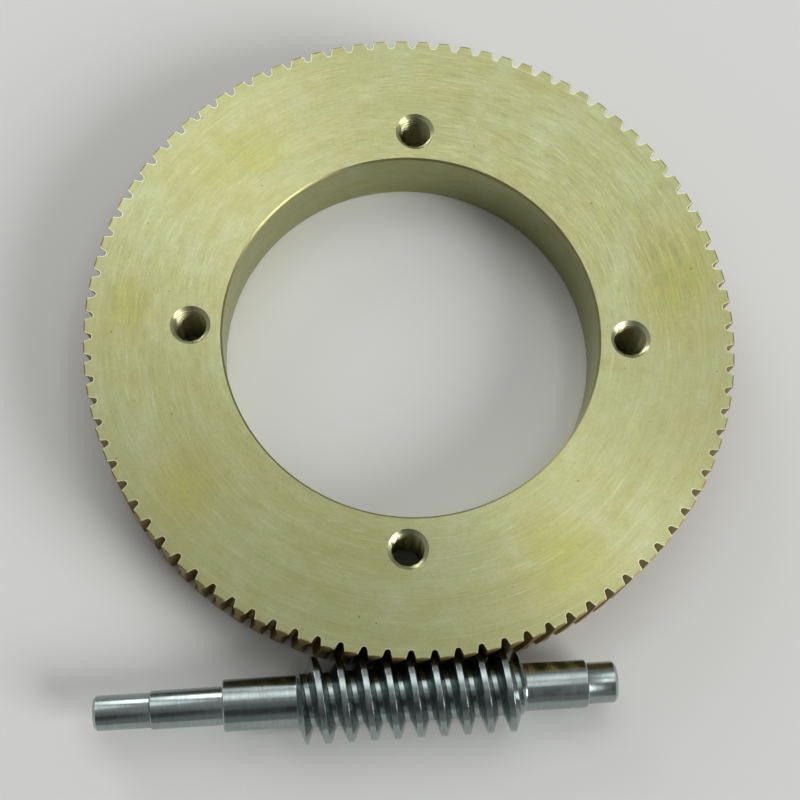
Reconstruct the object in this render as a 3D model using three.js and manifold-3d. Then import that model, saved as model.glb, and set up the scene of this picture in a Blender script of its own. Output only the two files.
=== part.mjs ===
// Worm gear set: a ring-shaped worm wheel with 90 teeth and the one-piece, single-start,
// right-hand worm shaft that drives it. Millimetres, +Z up.
// Both pieces stand on z = 0. The wheel turns about +Z and the worm about +X, and the worm's
// axis lies in the wheel's mid-plane, on its -Y side. The origin is the bottom centre of the set.
import * as THREE from 'three';
import { mergeVertices } from 'three/addons/utils/BufferGeometryUtils.js';
import Module from 'manifold-3d';

const wasm = await Module();
wasm.setup();

// ---- Driving dimensions ----

// Tooth system
const gearModule = 1.5;
const wheelTeeth = 90;
const pressureAngle = THREE.MathUtils.degToRad(20);
const addendum = gearModule;
const tipClearance = 0.2 * gearModule;
const wormPitchRadius = 7.25;
const wormThinning = 0.03;      // taken off each flank of the worm thread
const runningClearance = 0.12;  // added to each flank of a wheel gap, at the mid-plane

// Wheel
const boreRadius = 40;
const boreChamfer = 0.4;
const hobRadius = 24;           // the cutter was larger than the worm, so the gaps get shallower at the faces
const tappedHoles = 4;
const tappedHoleCircle = 46.75; // radius of the circle that the holes lie on
const tappedHolePhase = THREE.MathUtils.degToRad(-4.8);
const threadMinorRadius = 3.35; // M8
const countersinkRadius = 4.25;

// Worm shaft, as distances along X from the foot of the wheel's axis
const shaftLeftEnd = -68.7;
const leftStepSmall = -57.4;
const leftStepMedium = -42.8;
const threadLeft = -27.8;
const threadRight = 17.7;
const rightStep = 31.1;
const shaftRightEnd = 37.2;
const leftSmallRadius = 3.5;
const leftMediumRadius = 3.85;
const leftLargeRadius = 5.2;
const rightLargeRadius = 4.85;
const rightSmallRadius = 4.2;
const endChamfer = 0.6;
const stepChamfer = 0.25;
const threadEndTaper = 1.9;     // axial length over which the thread is turned down at each end

// Stand-in for the housing that holds both axes still
const standInSize = new THREE.Vector3(5, 5, 3);
const standInX = -35;

// Facets
const wheelSegments = 180;
const holeSegments = 20;
const shaftSegments = 36;
const gapSlices = 5;
const overrun = 0.5;            // how far a cutter runs past the face it cuts

// ---- Worked out from the driving dimensions ----

const pitch = Math.PI * gearModule;
const wheelPitchRadius = wheelTeeth * gearModule / 2;
const wheelTipRadius = wheelPitchRadius + addendum;
const wheelRootRadius = wheelPitchRadius - addendum - tipClearance;
const wormTipRadius = wormPitchRadius + addendum;
const wormRootRadius = wormPitchRadius - addendum - tipClearance;
const wheelWidth = 2 * wormTipRadius;
const axisHeight = wormTipRadius;
const centreDistance = wheelPitchRadius + wormPitchRadius;
const wheelAxisY = (centreDistance + wormTipRadius - wheelTipRadius) / 2;
const wormAxisY = wheelAxisY - centreDistance;
const leadAngle = Math.atan(pitch / (2 * Math.PI * wormPitchRadius));
const flankSlope = Math.tan(pressureAngle);
// The gap that meets the worm opens on the wheel's top face exactly at the foot of the axis,
// so at the mid-plane both the gap and the worm's thread sit this far along X.
const meshOffset = -axisHeight * Math.tan(leadAngle);

// ---- Solids ----

function toSolid(geometry) {
  geometry.deleteAttribute('uv');
  geometry.deleteAttribute('normal');
  const merged = mergeVertices(geometry, 1e-4);
  return new wasm.Manifold(new wasm.Mesh({
    numProp: 3,
    vertProperties: new Float32Array(merged.attributes.position.array),
    triVerts: new Uint32Array(merged.index.array),
  }));
}

function toMesh(name, solid, material) {
  const { vertProperties, triVerts } = solid.getMesh();
  const geometry = new THREE.BufferGeometry();
  geometry.setAttribute('position', new THREE.BufferAttribute(vertProperties, 3));
  geometry.setIndex(new THREE.BufferAttribute(triVerts, 1));
  const mesh = new THREE.Mesh(geometry.toNonIndexed(), material);
  mesh.geometry.computeVertexNormals();
  mesh.name = name;
  return mesh;
}

// A solid of revolution about Z. The outline is [radius, height] pairs.
function turned(outline, segments) {
  const points = outline.map(([radius, height]) => new THREE.Vector2(radius, height));
  return new THREE.LatheGeometry(points, segments).rotateX(Math.PI / 2);
}

// A closed body from rings that all have the same number of points.
function lofted(rings) {
  const count = rings[0].length;
  const index = [];
  for (let ring = 0; ring + 1 < rings.length; ring++) {
    for (let i = 0; i < count; i++) {
      const a = ring * count + i;
      const b = ring * count + (i + 1) % count;
      index.push(a, b, b + count, a, b + count, a + count);
    }
  }
  const last = (rings.length - 1) * count;
  for (let i = 1; i + 1 < count; i++) {
    index.push(0, i + 1, i);
    index.push(last, last + i, last + i + 1);
  }
  return new THREE.BufferGeometry().setFromPoints(rings.flat()).setIndex(index);
}

// ---- Worm wheel ----

// One gap between two teeth, on the wheel's -Y side, as the hob left it: its floor is an arc
// about the hob's axis, its flanks slope by the pressure angle, and it leans with the lead angle.
// Where the worm runs it is wider by the running clearance and by the bulge of a true flank.
function gapCutter() {
  const hobAxis = wheelRootRadius + hobRadius;
  const hobTipHalf = pitch / 4 - (addendum + tipClearance) * flankSlope;
  const flankCurvature = wheelPitchRadius * Math.sin(pressureAngle);
  const reach = wheelWidth / 2 + overrun;
  const halfWidth = (radius, height) => {
    const cut = hobTipHalf + (hobRadius - Math.hypot(hobAxis - radius, height)) * flankSlope;
    const bulge = (radius - wheelPitchRadius) ** 2 / (2 * flankCurvature);
    return cut + (runningClearance + bulge) * (1 - (height / reach) ** 2);
  };
  const rings = [];
  for (let slice = 0; slice < gapSlices; slice++) {
    const height = THREE.MathUtils.lerp(-reach, reach, slice / (gapSlices - 1));
    const floor = hobAxis - Math.sqrt(hobRadius ** 2 - height ** 2);
    const mouth = wheelTipRadius + overrun;
    const lean = height * Math.tan(leadAngle);
    const corner = (side, radius) =>
      new THREE.Vector3(lean + side * halfWidth(radius, height), -radius, axisHeight + height);
    rings.push([corner(1, floor), corner(-1, floor), corner(-1, mouth), corner(1, mouth)]);
  }
  return lofted(rings);
}

function tappedHoleCutter() {
  const depth = countersinkRadius - threadMinorRadius;
  return turned([
    [0, -overrun],
    [countersinkRadius + overrun, -overrun],
    [threadMinorRadius, depth],
    [threadMinorRadius, wheelWidth - depth],
    [countersinkRadius + overrun, wheelWidth + overrun],
    [0, wheelWidth + overrun],
  ], holeSegments);
}

function wheelSolid() {
  const blank = turned([
    [boreRadius, boreChamfer],
    [boreRadius + boreChamfer, 0],
    [wheelTipRadius, 0],
    [wheelTipRadius, wheelWidth],
    [boreRadius + boreChamfer, wheelWidth],
    [boreRadius, wheelWidth - boreChamfer],
    [boreRadius, boreChamfer],
  ], wheelSegments);
  const gap = gapCutter().rotateZ(meshOffset / wheelPitchRadius);
  const hole = tappedHoleCutter().translate(tappedHoleCircle, 0, 0);
  let solid = toSolid(blank);
  for (let tooth = 0; tooth < wheelTeeth; tooth++) {
    solid = solid.subtract(toSolid(gap.clone().rotateZ(2 * Math.PI * tooth / wheelTeeth)));
  }
  for (let i = 0; i < tappedHoles; i++) {
    const angle = tappedHolePhase + 2 * Math.PI * i / tappedHoles;
    solid = solid.subtract(toSolid(hole.clone().rotateZ(angle)));
  }
  return solid;
}

// ---- Worm shaft ----

// The thread and its root cylinder as one helical body about X, at least two pitches longer
// than the thread at each end, with the first and the last turn left at the root radius. The
// corners of the thread form follow right-hand helices, from +Y towards +Z.
function helicalBody() {
  const crestHalf = pitch / 4 - addendum * flankSlope - wormThinning;
  const rootHalf = pitch / 4 + (addendum + tipClearance) * flankSlope - wormThinning;
  const form = [
    [-rootHalf, wormRootRadius],
    [-crestHalf, wormTipRadius],
    [crestHalf, wormTipRadius],
    [rootHalf, wormRootRadius],
  ];
  const firstTurn = Math.floor((threadLeft - meshOffset) / pitch) - 2;
  const lastTurn = Math.ceil((threadRight - meshOffset) / pitch) + 2;
  const turns = lastTurn - firstTurn;
  const steps = turns * shaftSegments;
  const points = [];
  for (let step = 0; step <= steps; step++) {
    const angle = 2 * Math.PI * step / shaftSegments;
    const atEnd = step < shaftSegments || step > steps - shaftSegments;
    for (const [offset, radius] of form) {
      const x = meshOffset + pitch * (firstTurn + step / shaftSegments) + offset;
      const r = atEnd ? wormRootRadius : radius;
      points.push(new THREE.Vector3(x, r * Math.cos(angle), r * Math.sin(angle)));
    }
  }
  const corners = form.length;
  const turn = shaftSegments * corners;
  const index = [];
  for (let step = 0; step < steps; step++) {
    for (let i = 0; i < corners; i++) {
      const a = step * corners + i;
      const b = i + 1 < corners ? a + 1 : a + 1 - corners + turn;
      if (b + corners < points.length) {
        index.push(a, a + corners, b + corners, a, b + corners, b);
      }
    }
  }
  const left = points.push(new THREE.Vector3(points[0].x, 0, 0)) - 1;
  const right = points.push(new THREE.Vector3(points[corners * steps + corners - 1].x, 0, 0)) - 1;
  const edge = (centre, a, b) => index.push(centre, a, b);
  for (let step = 0; step < shaftSegments; step++) {
    edge(left, (step + 1) * corners, step * corners);
    const last = (steps - shaftSegments + step) * corners + corners - 1;
    edge(right, last, last + corners);
  }
  for (let i = 0; i + 1 < corners; i++) {
    edge(left, i, i + 1);
    edge(right, steps * corners + i + 1, steps * corners + i);
  }
  edge(left, corners - 1, turn);
  edge(right, steps * corners, (steps - shaftSegments) * corners + corners - 1);
  return new THREE.BufferGeometry().setFromPoints(points).setIndex(index);
}

// Turned about X: the outline's heights run along X.
function turnedAlongX(outline) {
  return turned(outline, shaftSegments).rotateY(Math.PI / 2);
}

function wormSolid() {
  const threadBlank = turnedAlongX([
    [0, threadLeft],
    [wormRootRadius, threadLeft],
    [wormTipRadius, threadLeft + threadEndTaper],
    [wormTipRadius, threadRight - threadEndTaper],
    [wormRootRadius, threadRight],
    [0, threadRight],
  ]);
  const shaft = turnedAlongX([
    [0, shaftLeftEnd],
    [leftSmallRadius - endChamfer, shaftLeftEnd],
    [leftSmallRadius, shaftLeftEnd + endChamfer],
    [leftSmallRadius, leftStepSmall],
    [leftMediumRadius - stepChamfer, leftStepSmall],
    [leftMediumRadius, leftStepSmall + stepChamfer],
    [leftMediumRadius, leftStepMedium],
    [leftLargeRadius - stepChamfer, leftStepMedium],
    [leftLargeRadius, leftStepMedium + stepChamfer],
    [leftLargeRadius, 0],
    [rightLargeRadius, 0],
    [rightLargeRadius, rightStep - stepChamfer],
    [rightLargeRadius - stepChamfer, rightStep],
    [rightSmallRadius, rightStep],
    [rightSmallRadius, shaftRightEnd - endChamfer],
    [rightSmallRadius - endChamfer, shaftRightEnd],
    [0, shaftRightEnd],
  ]);
  return toSolid(helicalBody()).intersect(toSolid(threadBlank)).add(toSolid(shaft));
}

// ---- The set ----

const brass = new THREE.MeshStandardMaterial({ color: 0xc4bd84, roughness: 0.38, metalness: 1 });
const steel = new THREE.MeshStandardMaterial({ color: 0x9aa29c, roughness: 0.3, metalness: 1 });
const plain = new THREE.MeshStandardMaterial({ color: 0x8c8c8c, roughness: 0.8, metalness: 0 });

const wormWheel = toMesh('worm_wheel', wheelSolid(), brass);
wormWheel.position.y = wheelAxisY;

const wormShaft = toMesh('worm_shaft', wormSolid(), steel);
wormShaft.position.set(0, wormAxisY, axisHeight);

// A small fixed block under the left journal, clear of it. It isn't a piece of the set: it
// stands for the housing whose bearings keep the two axes in place.
const standIn = new THREE.Mesh(new THREE.BoxGeometry(...standInSize.toArray()), plain);
standIn.name = 'housing_stand_in';
standIn.position.set(standInX, wormAxisY, standInSize.z / 2);

const wormGearSet = new THREE.Group();
wormGearSet.add(wormWheel, wormShaft, standIn);

export default wormGearSet;
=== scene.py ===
import math

import bmesh
import bpy
import numpy as np
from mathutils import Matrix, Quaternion, Vector
from mathutils.geometry import tessellate_polygon


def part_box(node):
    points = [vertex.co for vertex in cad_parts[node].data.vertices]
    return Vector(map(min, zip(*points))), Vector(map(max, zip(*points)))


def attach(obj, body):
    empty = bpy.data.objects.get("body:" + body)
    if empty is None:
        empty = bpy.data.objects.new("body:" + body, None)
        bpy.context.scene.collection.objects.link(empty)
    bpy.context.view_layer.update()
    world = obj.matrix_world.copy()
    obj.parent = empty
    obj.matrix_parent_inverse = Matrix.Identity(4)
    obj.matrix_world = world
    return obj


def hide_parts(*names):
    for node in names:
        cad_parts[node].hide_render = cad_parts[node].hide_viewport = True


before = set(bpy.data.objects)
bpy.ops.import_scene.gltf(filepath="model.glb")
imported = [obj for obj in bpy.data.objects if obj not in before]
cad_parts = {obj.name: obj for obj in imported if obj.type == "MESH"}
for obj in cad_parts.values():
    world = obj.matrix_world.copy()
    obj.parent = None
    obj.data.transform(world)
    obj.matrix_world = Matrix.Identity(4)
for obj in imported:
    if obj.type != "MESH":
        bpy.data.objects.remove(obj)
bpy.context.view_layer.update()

MM = 0.001


def frame_box(node):
    """The two corners of a node's box, in millimetres."""
    low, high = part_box(node)
    return low / MM, high / MM


wheel_low, wheel_high = frame_box("worm_wheel")
worm_low, worm_high = frame_box("worm_shaft")

# ---- Sizes ----

# Tooth system
WHEEL_TEETH = 90
PRESSURE_ANGLE = math.radians(20)
WORM_THINNING = 0.03
RUNNING_CLEARANCE = 0.12
WHEEL_TIP_RADIUS = (wheel_high.x - wheel_low.x) / 2
GEAR_MODULE = WHEEL_TIP_RADIUS / (WHEEL_TEETH / 2 + 1)
ADDENDUM = GEAR_MODULE
DEDENDUM = 1.2 * GEAR_MODULE
PITCH = math.pi * GEAR_MODULE
FLANK_SLOPE = math.tan(PRESSURE_ANGLE)
WHEEL_PITCH_RADIUS = WHEEL_TIP_RADIUS - ADDENDUM
WHEEL_ROOT_RADIUS = WHEEL_PITCH_RADIUS - DEDENDUM
WORM_TIP_RADIUS = (worm_high.z - worm_low.z) / 2
WORM_PITCH_RADIUS = WORM_TIP_RADIUS - ADDENDUM
WORM_ROOT_RADIUS = WORM_PITCH_RADIUS - DEDENDUM
LEAD_SLOPE = PITCH / (2 * math.pi * WORM_PITCH_RADIUS)

# Wheel
WHEEL_WIDTH = wheel_high.z - wheel_low.z
WHEEL_CENTRE = Vector((0, (wheel_low.y + wheel_high.y) / 2, WHEEL_WIDTH / 2))
MESH_OFFSET = -WHEEL_WIDTH / 2 * LEAD_SLOPE
HOB_RADIUS = 24
GAP_FILLET = 0.42
FACE_TIGHTENING = 0.13
EDGE_BREAK = 0.13
TIP_CHAMFER = 0.2
# Width of the band over which an edge's painted highlight or painted shade fades out
PAINTED_EDGE_BAND = 0.17
BORE_RADIUS = 40
BORE_CHAMFER = 0.4
HOLE_COUNT = 4
HOLE_CIRCLE = 46.75
HOLE_PHASE = math.radians(-4.8)
HOLE_PITCH = 1.25
HOLE_MINOR_RADIUS = 3.35
HOLE_MAJOR_RADIUS = 4.0
COUNTERSINK_RADIUS = 4.25
COUNTERSINK_FLARE = math.tan(math.radians(60))

# Thread form in a tapped hole, as shares of half a pitch: the crest, then the flank
HOLE_CREST_SHARE = 0.25
HOLE_FLANK_SHARE = 0.62

# How strongly parts of the wheel get painted highlight, and painted shade that also makes them rougher, from
# 0 to 1
# Painted highlight: the countersinks and the thread in the holes are lightened where light would glint on
# them
COUNTERSINK_PAINTED_HIGHLIGHT = 0.4
HOLE_PAINTED_HIGHLIGHT = 0.3
# Painted shade: the thread in the holes and the bore's chamfer edges are darkened brown and made rougher
HOLE_SHADE_AND_DULLNESS = 0.4
BORE_EDGE_SHADE_AND_DULLNESS = 0.7

# Worm shaft, as distances along X
WORM_CENTRE = Vector((0, (worm_low.y + worm_high.y) / 2, (worm_low.z + worm_high.z) / 2))
LEFT_END = worm_low.x
LEFT_STEP_SMALL = -57.4
LEFT_STEP_MEDIUM = -42.8
THREAD_LEFT = -27.8
THREAD_RIGHT = 17.7
RIGHT_STEP = 31.1
RIGHT_END = worm_high.x
LEFT_SMALL_RADIUS = 3.5
LEFT_MEDIUM_RADIUS = 3.85
LEFT_LARGE_RADIUS = 5.2
RIGHT_LARGE_RADIUS = 4.85
RIGHT_SMALL_RADIUS = 4.2
END_CHAMFER = 0.6
STEP_CHAMFER = 0.25
STEP_FILLET = 0.15
FILLET_MIDDLE = 0.3
# How much a fillet's edge is lightened with wear and painted highlight
FILLET_WEAR_AND_HIGHLIGHT = 0.4
THREAD_END_TAPER = 1.3
ROOT_FILLET = 0.35
CREST_ROUNDING = 0.12
LEFT_RUN_OUT = (0.5, 0.2)
RIGHT_RUN_OUT = (0.3, 0.6, 0.9)
RUN_OUT_LIFT = 0.03
RUN_OUT_RISE = 0.2

# Tarnished places on the wheel's faces: angle in degrees and distance from the wheel's axis, and size
STAINS = ((129, 53, 11), (213, 58, 9), (8, 58, 15), (-62, 57, 12), (172, 60, 9))

# Mesh density
WHEEL_SLICES = 15
FLANK_POINTS = 4
FILLET_POINTS = 4
TIP_POINTS = 4
BORE_POINTS = 360
HOLE_POINTS = 72
HOLE_ROWS_PER_PITCH = 12
WORM_POINTS = 72
FLOOR_POINTS = 96
SMOOTH_ANGLE = math.radians(28)

# Camera
VIEW_AZIMUTH = math.radians(-12.8)
VIEW_ELEVATION = math.radians(73.0)
VIEW_ROLL = math.radians(9.4)
VIEW_DISTANCE = 332
VIEW_AIM = WHEEL_CENTRE + Vector((-3.5, -14.9, WHEEL_WIDTH / 2))
LENS = 71.5

# Colours, linear
BRASS = (0.43, 0.44, 0.215, 1)
BRASS_TARNISH = (0.455, 0.44, 0.12, 1)
BRASS_MIDDLE_MARK = (0.48, 0.52, 0.31, 1)
BRASS_BROAD_MARK = (0.35, 0.365, 0.15, 1)
BRASS_FINE_MARK = (0.30, 0.31, 0.14, 1)
BRASS_PATCH = (0.495, 0.53, 0.375, 1)
BRASS_MOTTLE = (0.35, 0.34, 0.12, 1)
BRASS_GRAIN = (0.29, 0.295, 0.15, 1)
BRASS_SCRATCH = (0.60, 0.63, 0.45, 1)
# Brown painted shade for the tooth walls, tooth tips, hole threads and bore chamfer edges
BRASS_PAINTED_SHADE = (0.30, 0.20, 0.063, 1)
# Pale colour for edges: partly real wear and partly painted highlight; in holes and countersinks it is
# painted highlight only
BRASS_WORN_AND_HIGHLIGHT = (0.82, 0.83, 0.56, 1)
BRASS_PIT = (0.12, 0.10, 0.04, 1)
STEEL = (0.36, 0.43, 0.42, 1)
STEEL_FINE_MARK = (0.275, 0.33, 0.32, 1)
STEEL_SMUDGE = (0.25, 0.285, 0.27, 1)
# Pale colour for chamfers, fillets and thread crest edges: partly real wear and partly painted highlight
STEEL_WORN_AND_HIGHLIGHT = (0.62, 0.66, 0.64, 1)
FLOOR_COLOUR = (0.75, 0.755, 0.735, 1)

FLOOR_RADIUS = 20000

# World light: the direction of the dark patch, the cosines of the angles at its full and at its outer edge,
# and how strong the light is inside and outside it
DARK_PATCH = Vector((0.07, -0.5, 0.86))
PATCH_FULL = 0.93
PATCH_EDGE = 0.8
PATCH_STRENGTH = 0.04
WORLD_STRENGTH = 0.25

# Lights: name, place, width, depth and brightness
LIGHTS = (
    ("ceiling_light", (60, 600, 1100), 1050, 800, 0.85),
    ("wide_ceiling_light", (0, 300, 1200), 2900, 2300, 0.1),
    ("second_light", (380, -10, 1100), 450, 220, 2.4),
    ("key_light", (30, 400, 800), 900, 200, 0.45),
    ("far_light", (-550, 1170, 610), 700, 700, 3),
    ("right_light", (2475, -1500, 1675), 1750, 1750, 7),
)


# ---- Meshes ----

class Shell:
    """Vertices and faces of one mesh, in millimetres. Every vertex carries how far it is an edge lightened
    with wear and painted highlight, and how far it is on a dull wall darkened with painted shade."""

    def __init__(self):
        self.points = []
        self.wear_and_highlight = []
        self.dull_and_shade = []
        self.faces = []

    def loop(self, points, wear_and_highlight=0.0, dull_and_shade=0.0):
        """Adds a loop of points and returns their indices."""
        first = len(self.points)
        self.points.extend(tuple(map(float, point)) for point in points)
        self.wear_and_highlight.extend(np.broadcast_to(wear_and_highlight, len(points)).astype(float))
        self.dull_and_shade.extend(np.broadcast_to(dull_and_shade, len(points)).astype(float))
        return list(range(first, len(self.points)))

    def strip(self, lower, upper):
        """Quads between two closed loops that have the same number of points."""
        for i, a in enumerate(lower):
            j = (i + 1) % len(lower)
            self.faces.append((a, lower[j], upper[j], upper[i]))

    def twisted_strip(self, lower, upper):
        """Triangles between two closed loops, with their diagonals one point ahead."""
        for i, a in enumerate(lower):
            j = (i + 1) % len(lower)
            self.faces.append((a, lower[j], upper[j]))
            self.faces.append((a, upper[j], upper[i]))

    def strips(self, loops):
        for lower, upper in zip(loops, loops[1:]):
            self.strip(lower, upper)

    def fill(self, outer, *holes):
        """Triangles over a flat area inside the outer loop and outside the holes."""
        loops = [outer, *holes]
        flat = [[Vector(self.points[i]) for i in loop] for loop in loops]
        index = [i for loop in loops for i in loop]
        self.faces.extend(tuple(index[k] for k in triangle) for triangle in tessellate_polygon(flat))

    def to_object(self, name, material):
        mesh = bpy.data.meshes.new(name)
        mesh.from_pydata([Vector(point) * MM for point in self.points], [], self.faces)
        build = bmesh.new()
        build.from_mesh(mesh)
        bmesh.ops.recalc_face_normals(build, faces=build.faces)
        build.to_mesh(mesh)
        build.free()
        # Two colour masks: edges lightened with wear and painted highlight, and dull walls darkened with
        # painted shade
        for attribute, values in (("worn_edge", self.wear_and_highlight), ("dull_wall", self.dull_and_shade)):
            mesh.attributes.new(attribute, "FLOAT", "POINT").data.foreach_set("value", values)
        mesh.shade_smooth()
        mesh.set_sharp_from_angle(angle=SMOOTH_ANGLE)
        mesh.materials.append(material)
        piece = bpy.data.objects.new(name, mesh)
        bpy.context.scene.collection.objects.link(piece)
        return piece


def turned_about(points, angle):
    """Points (x, y) turned about the origin."""
    x, y = np.asarray(points).T
    return np.stack([x * np.cos(angle) - y * np.sin(angle), x * np.sin(angle) + y * np.cos(angle)], 1)


def circle(radius, count):
    angle = np.arange(count) * 2 * np.pi / count
    return np.stack([radius * np.cos(angle), radius * np.sin(angle)], 1)


# ---- Worm wheel ----

def gap_half_width(radius, height):
    """Half the width of a gap between teeth at a radius and a height above the wheel's mid-plane. Towards the
    faces, which the worm doesn't reach, it is tighter than the true form."""
    hob_axis = WHEEL_ROOT_RADIUS + HOB_RADIUS
    hob_tip = PITCH / 4 - DEDENDUM * FLANK_SLOPE
    cut = hob_tip + (HOB_RADIUS - np.hypot(hob_axis - radius, height)) * FLANK_SLOPE
    bulge = (radius - WHEEL_PITCH_RADIUS) ** 2 / (2 * WHEEL_PITCH_RADIUS * math.sin(PRESSURE_ANGLE))
    towards_face = (height / (WHEEL_WIDTH / 2)) ** 2
    return cut + (RUNNING_CLEARANCE + bulge) * (1 - towards_face) - FACE_TIGHTENING * towards_face


def gap_outline(height, inset, tip_inset):
    """One gap on the -Y side and the tooth tip after it, as points (x, y). The insets move them into the
    metal."""
    floor = WHEEL_ROOT_RADIUS + HOB_RADIUS - math.sqrt(HOB_RADIUS ** 2 - height ** 2) - inset
    tip = WHEEL_TIP_RADIUS - tip_inset
    lean = height * LEAD_SLOPE
    mouth = gap_half_width(tip, height) + inset
    shoulder = floor + GAP_FILLET
    radii = np.linspace(tip, shoulder, FLANK_POINTS)
    flank = np.stack([gap_half_width(radii, height) + inset, radii], 1)
    corner = np.array([gap_half_width(floor, height) + inset, floor])
    start = flank[-1]
    end = corner - [GAP_FILLET, 0]
    t = np.linspace(0, 1, FILLET_POINTS + 1)[1:, None]
    fillet = (1 - t) ** 2 * start + 2 * t * (1 - t) * corner + t ** 2 * end
    right = np.concatenate([flank, fillet])
    left = right * [-1, 1]
    across, radius = np.concatenate([left, right[::-1]]).T
    across = across + lean
    at_tip = radius == tip
    radius = np.where(at_tip, np.sqrt(tip ** 2 - across ** 2), radius)
    gap = np.stack([across, -radius], 1)
    tooth = 2 * math.pi / WHEEL_TEETH
    first = math.atan2(mouth + lean, tip)
    last = tooth + math.atan2(lean - mouth, tip)
    angle = np.linspace(first, last, TIP_POINTS + 2)[1:-1]
    land = np.stack([tip * np.sin(angle), -tip * np.cos(angle)], 1)
    return np.concatenate([gap, land])


def wheel_slice(height, inset=0.0, tip_inset=0.0):
    """The toothed outline of the wheel at a height above its mid-plane."""
    one = gap_outline(height, inset, tip_inset)
    phase = MESH_OFFSET / WHEEL_PITCH_RADIUS
    flat = np.concatenate([
        turned_about(one, phase + 2 * math.pi * tooth / WHEEL_TEETH) for tooth in range(WHEEL_TEETH)
    ])
    return at_height(flat, WHEEL_WIDTH / 2 + height)


def on_tooth_tips():
    """True for the points of a toothed outline that lie on a tip, in the order of wheel_slice."""
    in_gap = 2 * (FLANK_POINTS + FILLET_POINTS)
    return np.tile(np.arange(in_gap + TIP_POINTS) >= in_gap, WHEEL_TEETH)


def at_height(flat, z):
    """Wheel points (x, y) about the wheel's axis as points of the set."""
    return [(x, y + WHEEL_CENTRE.y, z) for x, y in flat]


def tapped_radius(turn, z):
    """Radius of a tapped hole with a countersink at both ends. turn is the angle as a share of a turn."""
    across = (z / HOLE_PITCH - turn) % 1
    slope = np.clip((np.abs(across - 0.5) * 2 - HOLE_CREST_SHARE) / HOLE_FLANK_SHARE, 0, 1)
    thread = HOLE_MINOR_RADIUS + (HOLE_MAJOR_RADIUS - HOLE_MINOR_RADIUS) * slope
    depth = np.minimum(z, WHEEL_WIDTH - z)
    return np.maximum(thread, COUNTERSINK_RADIUS - COUNTERSINK_FLARE * depth)


def add_tapped_hole(shell, centre):
    rows = round(WHEEL_WIDTH / HOLE_PITCH * HOLE_ROWS_PER_PITCH)
    turn = np.arange(HOLE_POINTS) / HOLE_POINTS
    countersink_depth = (COUNTERSINK_RADIUS - HOLE_MINOR_RADIUS) / COUNTERSINK_FLARE
    loops = []
    for z in np.linspace(0, WHEEL_WIDTH, rows + 1):
        radius = tapped_radius(turn, z)
        ring = circle(1, HOLE_POINTS) * radius[:, None] + centre
        depth = min(z, WHEEL_WIDTH - z)
        below = depth - countersink_depth
        in_countersink = depth > 0 and below < 0
        inside = np.clip(below, 0, 1)
        # Painted highlight on the countersink and the thread, and painted shade with more roughness down
        # inside the hole
        wear_and_highlight = COUNTERSINK_PAINTED_HIGHLIGHT * in_countersink + HOLE_PAINTED_HIGHLIGHT * inside
        loops.append(shell.loop(at_height(ring, z), wear_and_highlight=wear_and_highlight, dull_and_shade=HOLE_SHADE_AND_DULLNESS * inside))
    shell.strips(loops)
    return loops[0], loops[-1]


def wheel_piece(material):
    shell = Shell()
    half = WHEEL_WIDTH / 2
    tips = on_tooth_tips()
    faces = {}
    for height in (-half, half):
        # Gap edges lightened with wear and painted highlight; tooth tip chamfers darkened brown with painted
        # shade
        edge = shell.loop(wheel_slice(height, EDGE_BREAK, TIP_CHAMFER), wear_and_highlight=~tips, dull_and_shade=tips)
        inside = shell.loop(wheel_slice(height, EDGE_BREAK + PAINTED_EDGE_BAND, TIP_CHAMFER + PAINTED_EDGE_BAND))
        shell.strip(edge, inside)
        faces[height] = edge, inside
    heights = np.linspace(TIP_CHAMFER - half, half - TIP_CHAMFER, WHEEL_SLICES)
    # Tooth walls darkened brown with painted shade and made rougher
    wall = [shell.loop(wheel_slice(height), dull_and_shade=1) for height in heights]
    shell.strips([faces[-half][0], *wall, faces[half][0]])
    # Radius, height and painted shade: the bore's chamfer edges are darkened brown with painted shade and
    # made rougher
    bore_outline = [
        (BORE_RADIUS + BORE_CHAMFER, 0, 0),
        (BORE_RADIUS, BORE_CHAMFER, BORE_EDGE_SHADE_AND_DULLNESS),
        (BORE_RADIUS, BORE_CHAMFER + PAINTED_EDGE_BAND, 0),
        (BORE_RADIUS, WHEEL_WIDTH - BORE_CHAMFER - PAINTED_EDGE_BAND, 0),
        (BORE_RADIUS, WHEEL_WIDTH - BORE_CHAMFER, BORE_EDGE_SHADE_AND_DULLNESS),
        (BORE_RADIUS + BORE_CHAMFER, WHEEL_WIDTH, 0),
    ]
    bore = [
        shell.loop(at_height(circle(radius, BORE_POINTS), z), dull_and_shade=dull_and_shade) for radius, z, dull_and_shade in bore_outline
    ]
    shell.strips(bore)
    bottoms = [bore[0]]
    tops = [bore[-1]]
    for hole in range(HOLE_COUNT):
        angle = HOLE_PHASE + 2 * math.pi * hole / HOLE_COUNT
        centre = HOLE_CIRCLE * np.array([math.cos(angle), math.sin(angle)])
        bottom, top = add_tapped_hole(shell, centre)
        bottoms.append(bottom)
        tops.append(top)
    shell.fill(faces[-half][1], *bottoms)
    shell.fill(faces[half][1], *tops)
    return shell.to_object("worm_wheel_brass", material)


# ---- Worm shaft ----

def smooth_maximum(a, b, width):
    gap = np.maximum(width - np.abs(a - b), 0)
    return np.maximum(a, b) + gap ** 2 / (4 * width)


def blank_radius(x):
    """Radius of the turned blank that the thread is cut in, with both ends turned down."""
    slope = (WORM_TIP_RADIUS - WORM_ROOT_RADIUS) / THREAD_END_TAPER
    from_end = min(x - THREAD_LEFT, THREAD_RIGHT - x)
    return min(WORM_TIP_RADIUS, WORM_ROOT_RADIUS + slope * from_end)


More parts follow.
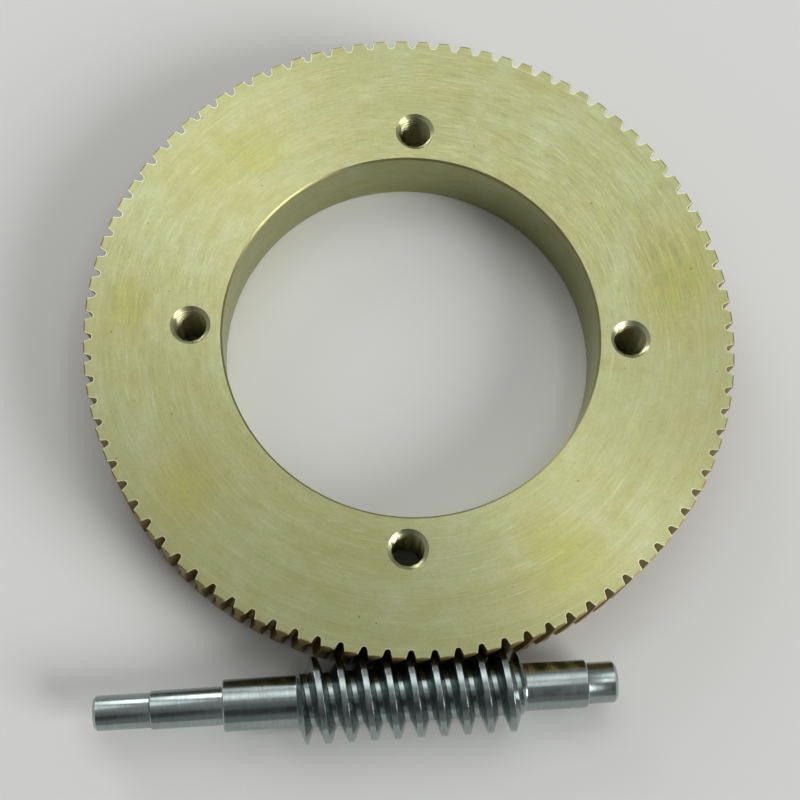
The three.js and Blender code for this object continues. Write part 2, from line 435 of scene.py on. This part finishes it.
def thread_radius(turn, x):
    """Radius of the single-start thread and how near a crest edge is. turn is the angle as a share of a
    turn."""
    crest_half = PITCH / 4 - ADDENDUM * FLANK_SLOPE - WORM_THINNING
    across = np.abs((x - MESH_OFFSET - PITCH * turn + PITCH / 2) % PITCH - PITCH / 2)
    flank = WORM_TIP_RADIUS - (across - crest_half) / FLANK_SLOPE
    rooted = smooth_maximum(flank, WORM_ROOT_RADIUS, ROOT_FILLET)
    radius = -smooth_maximum(-rooted, -WORM_TIP_RADIUS, CREST_ROUNDING)
    return radius, np.clip(1 - np.abs(across - crest_half) / CREST_ROUNDING, 0, 1)


def shoulder(x, low, high, side):
    """Rows from a journal up to a larger one: a corner fillet and a chamfered edge. side is +1 where the
    larger one is towards +X and -1 where it is towards -X."""
    # Each row: x, radius and how much it is lightened with wear and painted highlight
    rows = [
        (x - side * STEP_FILLET, low, 0),
        (x - side * STEP_FILLET * FILLET_MIDDLE, low + STEP_FILLET * FILLET_MIDDLE, 0),
        (x, low + STEP_FILLET, FILLET_WEAR_AND_HIGHLIGHT),
        (x, high - STEP_CHAMFER, 1),
        (x + side * STEP_CHAMFER, high, 1),
        (x + side * (STEP_CHAMFER + EDGE_BREAK), high, 0),
    ]
    return rows[::side]


def journal_rows_left():
    rows = [
        (LEFT_END, LEFT_SMALL_RADIUS - END_CHAMFER, 1),
        (LEFT_END + END_CHAMFER, LEFT_SMALL_RADIUS, 1),
        (LEFT_END + END_CHAMFER + EDGE_BREAK, LEFT_SMALL_RADIUS, 0),
    ]
    rows += shoulder(LEFT_STEP_SMALL, LEFT_SMALL_RADIUS, LEFT_MEDIUM_RADIUS, 1)
    rows += shoulder(LEFT_STEP_MEDIUM, LEFT_MEDIUM_RADIUS, LEFT_LARGE_RADIUS, 1)
    far, near = LEFT_RUN_OUT
    rows += [(THREAD_LEFT - far, LEFT_LARGE_RADIUS, 0)]
    rows += [(THREAD_LEFT - near, LEFT_LARGE_RADIUS + RUN_OUT_LIFT, 0)]
    return rows


def journal_rows_right():
    near, middle, far = RIGHT_RUN_OUT
    rows = [(THREAD_RIGHT + near, RIGHT_LARGE_RADIUS + RUN_OUT_RISE, 0)]
    rows += [(THREAD_RIGHT + middle, RIGHT_LARGE_RADIUS + RUN_OUT_LIFT, 0)]
    rows += [(THREAD_RIGHT + far, RIGHT_LARGE_RADIUS, 0)]
    rows += shoulder(RIGHT_STEP, RIGHT_SMALL_RADIUS, RIGHT_LARGE_RADIUS, -1)
    rows += [
        (RIGHT_END - END_CHAMFER - EDGE_BREAK, RIGHT_SMALL_RADIUS, 0),
        (RIGHT_END - END_CHAMFER, RIGHT_SMALL_RADIUS, 1),
        (RIGHT_END, RIGHT_SMALL_RADIUS - END_CHAMFER, 1),
    ]
    return rows


def worm_piece(material):
    shell = Shell()
    around = circle(1, WORM_POINTS)
    turn = np.arange(WORM_POINTS) / WORM_POINTS

    def ring(x, radius, wear_and_highlight):
        flat = around * np.broadcast_to(radius, WORM_POINTS)[:, None]
        return shell.loop([(x, WORM_CENTRE.y + y, WORM_CENTRE.z + z) for y, z in flat], wear_and_highlight)

    left = [ring(*row) for row in journal_rows_left()]
    thread = []
    for x in np.arange(THREAD_LEFT, THREAD_RIGHT, PITCH / WORM_POINTS):
        # Crest edges are lightened with wear and painted highlight
        radius, wear_and_highlight = thread_radius(turn, x)
        thread.append(ring(x, np.minimum(radius, blank_radius(x)), wear_and_highlight))
    right = [ring(*row) for row in journal_rows_right()]
    shell.strips([*left, thread[0]])
    for lower, upper in zip(thread, thread[1:]):
        shell.twisted_strip(lower, upper)
    shell.strips([thread[-1], *right])
    shell.faces.append(tuple(left[0]))
    shell.faces.append(tuple(right[-1]))
    return shell.to_object("worm_shaft_steel", material)


# ---- Materials ----

class Nodes:
    """Adds shader nodes to a material or a world. An input is a number, a colour or another node's output."""

    def __init__(self, owner):
        self.owner = owner
        owner.use_nodes = True
        self.tree = owner.node_tree
        self.shader = self.tree.nodes["Background" if "Background" in self.tree.nodes else "Principled BSDF"]

    def set(self, node, inputs):
        for key, value in inputs.items():
            if isinstance(value, bpy.types.NodeSocket):
                self.tree.links.new(value, node.inputs[key])
            else:
                node.inputs[key].default_value = value

    def add(self, kind, settings=None, **inputs):
        node = self.tree.nodes.new(kind)
        for key, value in (settings or {}).items():
            setattr(node, key, value)
        self.set(node, {int(k[1:]) if k[0] == "_" else k.replace("_", " "): v for k, v in inputs.items()})
        return node

    def math(self, operation, a, b=0.0):
        return self.add("ShaderNodeMath", {"operation": operation}, _0=a, _1=b).outputs[0]

    def vector(self, operation, a, b=(0, 0, 0)):
        return self.add("ShaderNodeVectorMath", {"operation": operation}, _0=a, _1=b)

    def noise(self, coordinates, scale=1.0, detail=2.0, roughness=0.5, distortion=0.0):
        node = self.add(
            "ShaderNodeTexNoise", Vector=coordinates, Scale=scale, Detail=detail,
            Roughness=roughness, Distortion=distortion,
        )
        return node.outputs["Fac"]

    def ramp(self, value, low, high, start=0.0, end=1.0):
        """value taken from the range low to high into the range start to end, clamped."""
        node = self.add("ShaderNodeMapRange", _0=value, _1=low, _2=high, _3=start, _4=end)
        return node.outputs[0]

    def mix(self, factor, a, b):
        node = self.add("ShaderNodeMix", {"data_type": "RGBA"})
        self.set(node, {0: factor, 6: a, 7: b})
        return node.outputs[2]


def lathe_coordinates(nodes, centre, axis):
    """Coordinates from a centre, and a function that gives noise coordinates following the cuts of a lathe
    about an axis (0 for X, 2 for Z)."""
    place = nodes.add("ShaderNodeTexCoord").outputs["Object"]
    local = nodes.vector("SUBTRACT", place, centre * MM).outputs[0]
    along_mask = Vector([float(i == axis) for i in range(3)])
    across = nodes.vector("MULTIPLY", local, Vector((1, 1, 1)) - along_mask).outputs[0]
    along = nodes.vector("DOT_PRODUCT", local, along_mask).outputs["Value"]
    radius = nodes.vector("LENGTH", across).outputs["Value"]
    direction = nodes.vector("NORMALIZE", across).outputs[0]
    travel = nodes.math("ADD", radius, along)

    def marks(per_mm, around):
        """Coordinates of marks so many to a millimetre, broken so many times around."""
        step = nodes.math("MULTIPLY", travel, per_mm / MM)
        scaled = nodes.add("ShaderNodeVectorMath", {"operation": "SCALE"}, _0=direction, Scale=around)
        steps = nodes.add("ShaderNodeCombineXYZ", X=step, Y=step, Z=step).outputs[0]
        offset = nodes.vector("MULTIPLY", steps, along_mask).outputs[0]
        return nodes.vector("ADD", scaled.outputs[0], offset).outputs[0]

    return local, marks


def specks(nodes, coordinates, spacing, size, share):
    """1 inside small round specks, 0 elsewhere. A share of the cells has one."""
    cell = nodes.add("ShaderNodeTexVoronoi", Vector=coordinates, Scale=1 / (spacing * MM))
    near = nodes.ramp(cell.outputs["Distance"], size / spacing, 0.4 * size / spacing)
    chosen = nodes.add("ShaderNodeSeparateColor", _0=cell.outputs["Color"]).outputs[0]
    return nodes.math("MULTIPLY", near, nodes.math("LESS_THAN", chosen, share))


def stained(nodes, local, raggedness):
    """1 in the middle of a stain and 0 away from them all, with ragged borders."""
    stain = 0.0
    for degrees, distance, size in STAINS:
        angle = math.radians(degrees)
        middle = Vector((distance * math.cos(angle), distance * math.sin(angle), WHEEL_WIDTH / 2)) * MM
        away = nodes.vector("DISTANCE", local, middle).outputs["Value"]
        ragged = nodes.math("ADD", nodes.math("MULTIPLY", away, 1 / (size * MM)), raggedness)
        stain = nodes.math("MAXIMUM", stain, nodes.ramp(ragged, 1.5, 0.6))
    return stain


def brass_material():
    nodes = Nodes(bpy.data.materials.new("machined_brass"))
    local, marks = lathe_coordinates(nodes, WHEEL_CENTRE, 2)
    fine = nodes.noise(marks(4.5, 14), detail=3)
    middle = nodes.noise(marks(1.5, 5), detail=3)
    broad = nodes.noise(marks(0.33, 1.4), detail=3)
    scratch = nodes.ramp(nodes.noise(marks(2.6, 3.5), detail=4, roughness=0.65), 0.60, 0.70)
    patches = nodes.noise(local, scale=1 / (14 * MM), detail=5, roughness=0.6, distortion=0.6)
    mottle = nodes.noise(local, scale=1 / (3.5 * MM), detail=4, roughness=0.6)
    grain = nodes.noise(local, scale=1 / (0.45 * MM), detail=2)
    wear_and_highlight = nodes.add("ShaderNodeAttribute", {"attribute_name": "worn_edge"}).outputs["Fac"]
    dull_and_shade = nodes.add("ShaderNodeAttribute", {"attribute_name": "dull_wall"}).outputs["Fac"]
    pit = specks(nodes, local, 4.0, 0.22, 0.45)

    tarnish = stained(nodes, local, patches)
    colour = nodes.mix(tarnish, BRASS, BRASS_TARNISH)
    colour = nodes.mix(nodes.ramp(middle, 0.35, 0.7, 0, 0.35), colour, BRASS_MIDDLE_MARK)
    colour = nodes.mix(nodes.ramp(broad, 0.4, 0.65, 0, 0.45), colour, BRASS_BROAD_MARK)
    colour = nodes.mix(nodes.ramp(fine, 0.3, 0.7, 0, 0.4), colour, BRASS_FINE_MARK)
    colour = nodes.mix(nodes.ramp(patches, 0.5, 0.7, 0, 0.35), colour, BRASS_PATCH)
    colour = nodes.mix(nodes.ramp(mottle, 0.45, 0.75, 0, 0.4), colour, BRASS_MOTTLE)
    colour = nodes.mix(nodes.ramp(grain, 0.35, 0.7, 0, 0.3), colour, BRASS_GRAIN)
    colour = nodes.mix(nodes.math("MULTIPLY", scratch, 0.35), colour, BRASS_SCRATCH)
    # Painted shade: dull walls, tooth tips, hole threads and bore chamfer edges darkened brown
    colour = nodes.mix(nodes.math("MULTIPLY", dull_and_shade, 0.85), colour, BRASS_PAINTED_SHADE)
    # Edges lightened, partly real wear and partly painted highlight; in holes and countersinks painted
    # highlight only
    colour = nodes.mix(nodes.math("MULTIPLY", wear_and_highlight, 0.75), colour, BRASS_WORN_AND_HIGHLIGHT)
    colour = nodes.mix(pit, colour, BRASS_PIT)

    rough = nodes.ramp(fine, 0.25, 0.75, 0.30, 0.42)
    rough = nodes.math("ADD", rough, nodes.ramp(tarnish, 0, 1, 0, 0.05))
    rough = nodes.math("ADD", rough, nodes.math("MULTIPLY", dull_and_shade, 0.15))
    rough = nodes.math("SUBTRACT", rough, nodes.math("MULTIPLY", wear_and_highlight, 0.12))
    height = nodes.math("ADD", fine, nodes.math("MULTIPLY", middle, 1.5))
    height = nodes.math("ADD", height, nodes.math("MULTIPLY", grain, 0.5))
    height = nodes.math("SUBTRACT", height, scratch)
    height = nodes.math("SUBTRACT", height, nodes.math("MULTIPLY", pit, 2.0))
    bump = nodes.add("ShaderNodeBump", Strength=0.35, Distance=0.012 * MM, Height=height)
    tangent = nodes.add("ShaderNodeTangent", {"direction_type": "RADIAL", "axis": "Z"})
    nodes.set(nodes.shader, {
        "Base Color": colour, "Metallic": 1.0, "Roughness": rough, "Normal": bump.outputs[0],
        "Anisotropic": 0.55, "Anisotropic Rotation": 0.25, "Tangent": tangent.outputs[0],
    })
    return nodes.owner


def steel_material():
    nodes = Nodes(bpy.data.materials.new("turned_steel"))
    local, marks = lathe_coordinates(nodes, WORM_CENTRE, 0)
    fine = nodes.noise(marks(4.5, 1.2), detail=3)
    middle = nodes.noise(marks(1.2, 0.6), detail=2)
    smudge = nodes.noise(local, scale=1 / (9 * MM), detail=4, distortion=0.4)
    wear_and_highlight = nodes.add("ShaderNodeAttribute", {"attribute_name": "worn_edge"}).outputs["Fac"]

    colour = nodes.mix(nodes.ramp(fine, 0.3, 0.7), STEEL, STEEL_FINE_MARK)
    colour = nodes.mix(nodes.ramp(smudge, 0.45, 0.75, 0, 0.5), colour, STEEL_SMUDGE)
    # Chamfers, fillets and crest edges lightened, partly real wear and partly painted highlight
    colour = nodes.mix(nodes.math("MULTIPLY", wear_and_highlight, 0.3), colour, STEEL_WORN_AND_HIGHLIGHT)

    rough = nodes.ramp(middle, 0.3, 0.7, 0.20, 0.25)
    rough = nodes.math("ADD", rough, nodes.ramp(smudge, 0.45, 0.75, 0, 0.08))
    height = nodes.math("ADD", fine, middle)
    bump = nodes.add("ShaderNodeBump", Strength=0.13, Distance=0.006 * MM, Height=height)
    tangent = nodes.add("ShaderNodeTangent", {"direction_type": "RADIAL", "axis": "X"})
    nodes.set(nodes.shader, {
        "Base Color": colour, "Metallic": 1.0, "Roughness": rough, "Normal": bump.outputs[0],
        "Anisotropic": 0.5, "Anisotropic Rotation": 0.25, "Tangent": tangent.outputs[0],
    })
    return nodes.owner


def floor_material():
    nodes = Nodes(bpy.data.materials.new("pale_floor"))
    nodes.set(nodes.shader, {"Base Color": FLOOR_COLOUR, "Roughness": 0.85, "Specular IOR Level": 0.15})
    return nodes.owner


# ---- Camera, floor and light ----

def add_camera():
    data = bpy.data.cameras.new("camera")
    data.lens = LENS
    data.clip_start = 0.01
    camera = bpy.data.objects.new("camera", data)
    level = math.cos(VIEW_ELEVATION)
    forward = Vector((
        -level * math.sin(VIEW_AZIMUTH), level * math.cos(VIEW_AZIMUTH), -math.sin(VIEW_ELEVATION)
    ))
    camera.rotation_mode = "QUATERNION"
    camera.rotation_quaternion = forward.to_track_quat("-Z", "Y") @ Quaternion((0, 0, 1), VIEW_ROLL)
    camera.location = (VIEW_AIM - forward * VIEW_DISTANCE) * MM
    bpy.context.scene.collection.objects.link(camera)
    bpy.context.scene.camera = camera


def add_floor():
    shell = Shell()
    shell.faces.append(tuple(shell.loop([(x, y, 0) for x, y in circle(FLOOR_RADIUS, FLOOR_POINTS)])))
    floor = shell.to_object("floor", floor_material())


def add_soft_light(name, place, width, depth, brightness):
    """An oval of light that faces the wheel. Its power grows with its area, so brightness sets how bright it
    looks at any size."""
    data = bpy.data.lights.new(name, "AREA")
    data.shape = "ELLIPSE"
    data.size = width * MM
    data.size_y = depth * MM
    data.energy = brightness * math.pi * data.size * data.size_y
    light = bpy.data.objects.new(name, data)
    light.location = Vector(place) * MM
    light.rotation_mode = "QUATERNION"
    light.rotation_quaternion = (WHEEL_CENTRE - Vector(place)).to_track_quat("-Z", "Y")
    bpy.context.scene.collection.objects.link(light)


def studio_world():
    """Dim light from all around, with a dark patch high on the -Y side."""
    nodes = Nodes(bpy.data.worlds.new("studio"))
    direction = nodes.add("ShaderNodeTexCoord").outputs["Generated"]
    towards_patch = nodes.vector("DOT_PRODUCT", direction, DARK_PATCH.normalized()).outputs["Value"]
    strength = nodes.ramp(towards_patch, PATCH_FULL, PATCH_EDGE, PATCH_STRENGTH, WORLD_STRENGTH)
    nodes.set(nodes.shader, {"Color": (1, 1, 1, 1), "Strength": strength})
    return nodes.owner


def add_light():
    for light in LIGHTS:
        add_soft_light(*light)
    bpy.context.scene.world = studio_world()
    bpy.context.scene.view_settings.view_transform = "Standard"


# ---- The set ----

add_camera()
add_floor()
add_light()

wheel = wheel_piece(brass_material())
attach(wheel, "wheel")
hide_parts("worm_wheel", "housing_stand_in")

worm = worm_piece(steel_material())
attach(worm, "worm")
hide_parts("worm_shaft")
